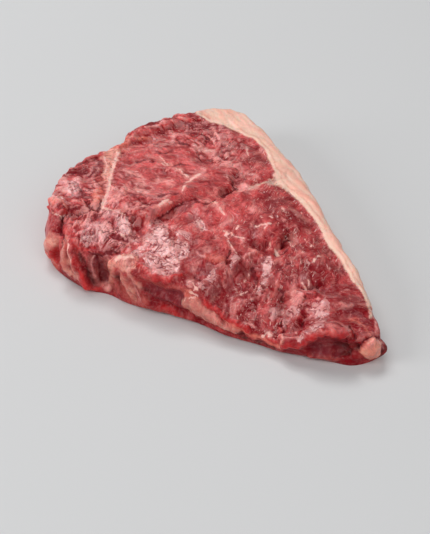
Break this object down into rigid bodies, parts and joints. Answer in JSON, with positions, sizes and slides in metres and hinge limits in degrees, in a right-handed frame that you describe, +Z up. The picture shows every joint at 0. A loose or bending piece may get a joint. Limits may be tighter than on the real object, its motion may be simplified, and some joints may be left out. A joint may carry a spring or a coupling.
{
  "type": "raw rump steak",
  "caption": "Raw rump steak with a cap of fat along one side, cut across the grain and lying on its cut face.",
  "frame": {"origin": "on the flat resting face, under the middle of the bounding box", "axes": "+X from the blunt end towards the tapered tip, +Y towards the cap of fat, +Z up"},
  "size_m": [0.1988, 0.1436, 0.0267],
  "materials": {
    "raw_beef": "moist raw beef, with a cap and seams of pale fat"
  },
  "bodies": {
    "root": {"steak": "raw_beef"}
  },
  "joints": []
}
